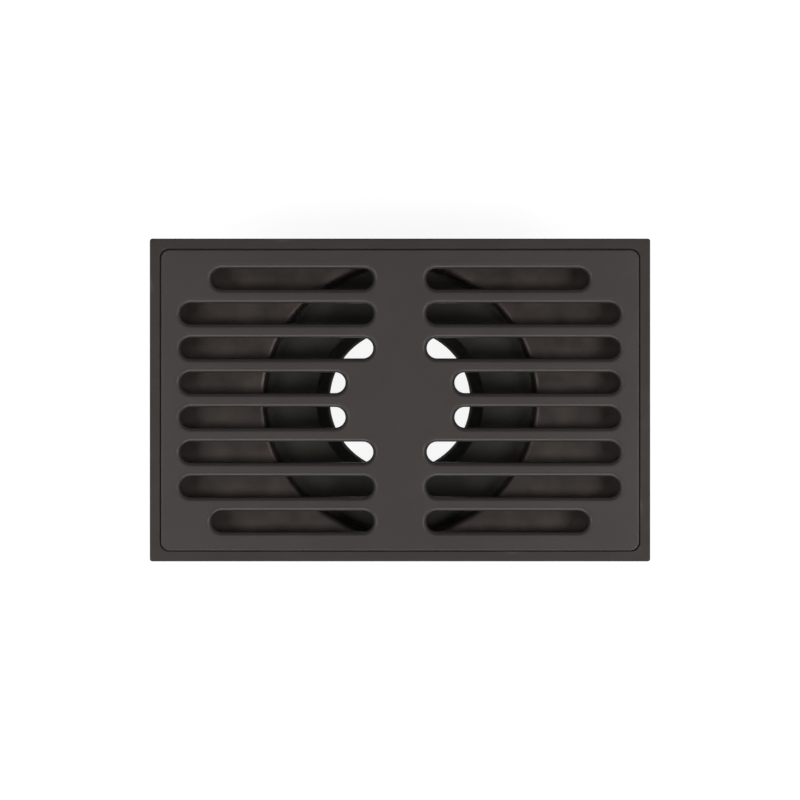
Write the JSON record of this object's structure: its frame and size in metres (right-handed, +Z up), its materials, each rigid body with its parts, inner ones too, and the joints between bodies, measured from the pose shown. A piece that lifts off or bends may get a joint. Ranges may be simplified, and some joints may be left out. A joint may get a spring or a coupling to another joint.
{
  "type": "floor drain",
  "caption": "Rectangular floor drain: a loose slotted grate flush in a level rim, over a shallow tray, round well and straight outlet spigot.",
  "frame": {"origin": "centre of the outlet spigot's open end, the lowest level of the drain", "axes": "+X along the long side of the rim, +Y along the short side, +Z up through the grate"},
  "size_m": [0.155, 0.1, 0.07],
  "materials": {
    "coated_casting": "satin"
  },
  "bodies": {
    "root": {"drain_body": "coated_casting", "grate": "coated_casting"}
  },
  "joints": []
}
